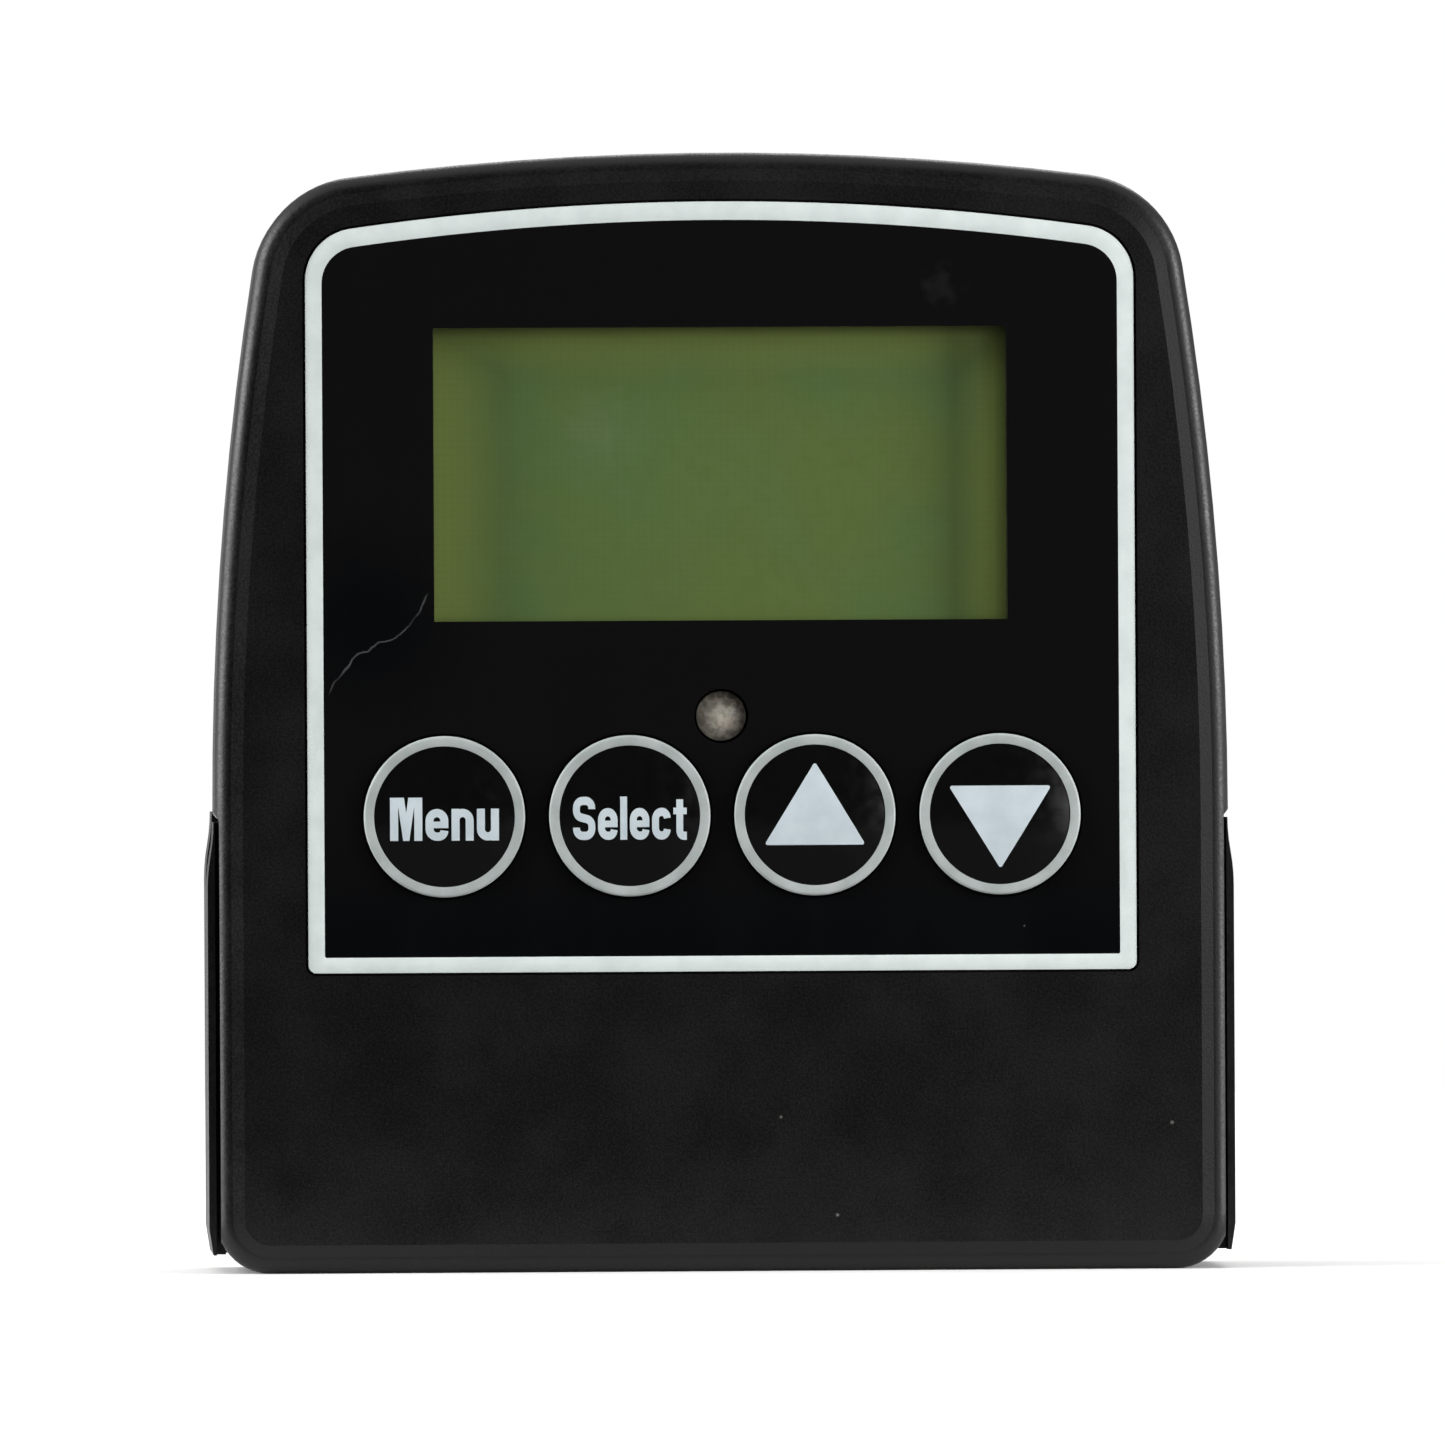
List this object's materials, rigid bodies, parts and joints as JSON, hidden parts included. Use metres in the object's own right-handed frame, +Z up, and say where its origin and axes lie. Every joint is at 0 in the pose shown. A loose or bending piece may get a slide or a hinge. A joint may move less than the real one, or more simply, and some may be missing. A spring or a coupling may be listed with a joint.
{
  "type": "pager",
  "caption": "Belt pager in a clip holster: crowned black case, gloss front panel with an olive display, status light and round keys, battery door behind.",
  "frame": {"origin": "middle of the base, on the surface the pager stands on", "axes": "+Z up, -Y out of the display, +X to the right as the display is read"},
  "size_m": [0.0624, 0.0256, 0.0679],
  "materials": {
    "case_plastic": "fine spark-eroded grain",
    "panel_print": "gloss polyester film printed black with a white border line",
    "window_clear": "clear",
    "key_plastic": "gloss, white ring and symbol printed on top",
    "lcd_green": "olive reflective display",
    "frame_white": "moulded",
    "guide_clear": "clear light guide",
    "led_lens": "milky diffusing lens",
    "silicone": "matt",
    "foam": "open cell",
    "zebra_rubber": "striped",
    "board_laminate": "solder mask",
    "chip_epoxy": "moulded, tinned legs",
    "connector_plastic": "moulded",
    "chip_ceramic": "ceramic with tinned ends",
    "tin_plate": "tinned",
    "spring_steel": "nickel plated",
    "copper_strip": "bare strip",
    "motor_steel": "plated can",
    "tungsten": "sintered",
    "buzzer_plastic": "moulded",
    "cell_sleeve": "plain shrink sleeve, steel ends",
    "screw_steel": "zinc plated",
    "holster_plastic": "fine grain"
  },
  "bodies": {
    "holster": {"holster_body": "holster_plastic", "clip_pin": "screw_steel", "clip_spring": "spring_steel"},
    "clip": {"belt_clip": "holster_plastic"},
    "pager": {"front_cover": "case_plastic", "rear_cover": "case_plastic", "panel_overlay": "panel_print", "display_window": "window_clear", "keypad_mat": "silicone", "snap_domes": "spring_steel", "lcd_glass": "lcd_green", "lcd_frame": "frame_white", "backlight_guide": "guide_clear", "backlight_leds": "led_lens", "zebra_strip": "zebra_rubber", "status_led": "led_lens", "led_leads": "tin_plate", "logic_board": "board_laminate", "microcontroller": "chip_epoxy", "decoder_chip": "chip_epoxy", "memory_chip": "chip_epoxy", "quartz_crystal": "tin_plate", "board_connector": "connector_plastic", "receiver_board": "board_laminate", "rf_shield": "tin_plate", "receiver_chip": "chip_epoxy", "channel_crystal": "tin_plate", "trimmer": "chip_ceramic", "chip_parts": "chip_ceramic", "loop_antenna": "copper_strip", "sounder": "buzzer_plastic", "sounder_ring": "foam", "motor_can": "motor_steel", "motor_boot": "silicone", "battery_holder": "buzzer_plastic", "battery_cell": "cell_sleeve", "positive_contact": "spring_steel", "negative_spring": "spring_steel", "case_screws": "screw_steel"},
    "door": {"battery_door": "case_plastic"},
    "motor_rotor": {"motor_shaft": "motor_steel", "eccentric_weight": "tungsten"},
    "menu_key": {"key_menu": "key_plastic"},
    "select_key": {"key_select": "key_plastic"},
    "up_key": {"key_up": "key_plastic"},
    "down_key": {"key_down": "key_plastic"}
  },
  "joints": [
    {"name": "pager_slide", "type": "slide", "parent": "holster", "child": "pager", "axis": [0, 0, 1], "range_m": [0, 0.028]},
    {"name": "clip_hinge", "type": "hinge", "parent": "holster", "child": "clip", "pos_m": [0, 0.00875, 0.053], "axis": [1, 0, 0], "range_deg": [0, 20], "stiffness_Nm_per_rad": 0.2, "springref_deg": -20.05},
    {"name": "door_slide", "type": "slide", "parent": "pager", "child": "door", "axis": [0, 0, -1], "range_m": [0, 0.003]},
    {"name": "motor_spin", "type": "hinge", "parent": "pager", "child": "motor_rotor", "pos_m": [-0.0094, -0.00105, 0.023], "axis": [1, 0, 0], "continuous": true},
    {"name": "menu_press", "type": "slide", "parent": "pager", "child": "menu_key", "axis": [0, 1, 0], "range_m": [0, 0.0004], "stiffness_N_per_m": 300, "springref_m": -0.001},
    {"name": "select_press", "type": "slide", "parent": "pager", "child": "select_key", "axis": [0, 1, 0], "range_m": [0, 0.0004], "stiffness_N_per_m": 300, "springref_m": -0.001},
    {"name": "up_press", "type": "slide", "parent": "pager", "child": "up_key", "axis": [0, 1, 0], "range_m": [0, 0.0004], "stiffness_N_per_m": 300, "springref_m": -0.001},
    {"name": "down_press", "type": "slide", "parent": "pager", "child": "down_key", "axis": [0, 1, 0], "range_m": [0, 0.0004], "stiffness_N_per_m": 300, "springref_m": -0.001}
  ]
}
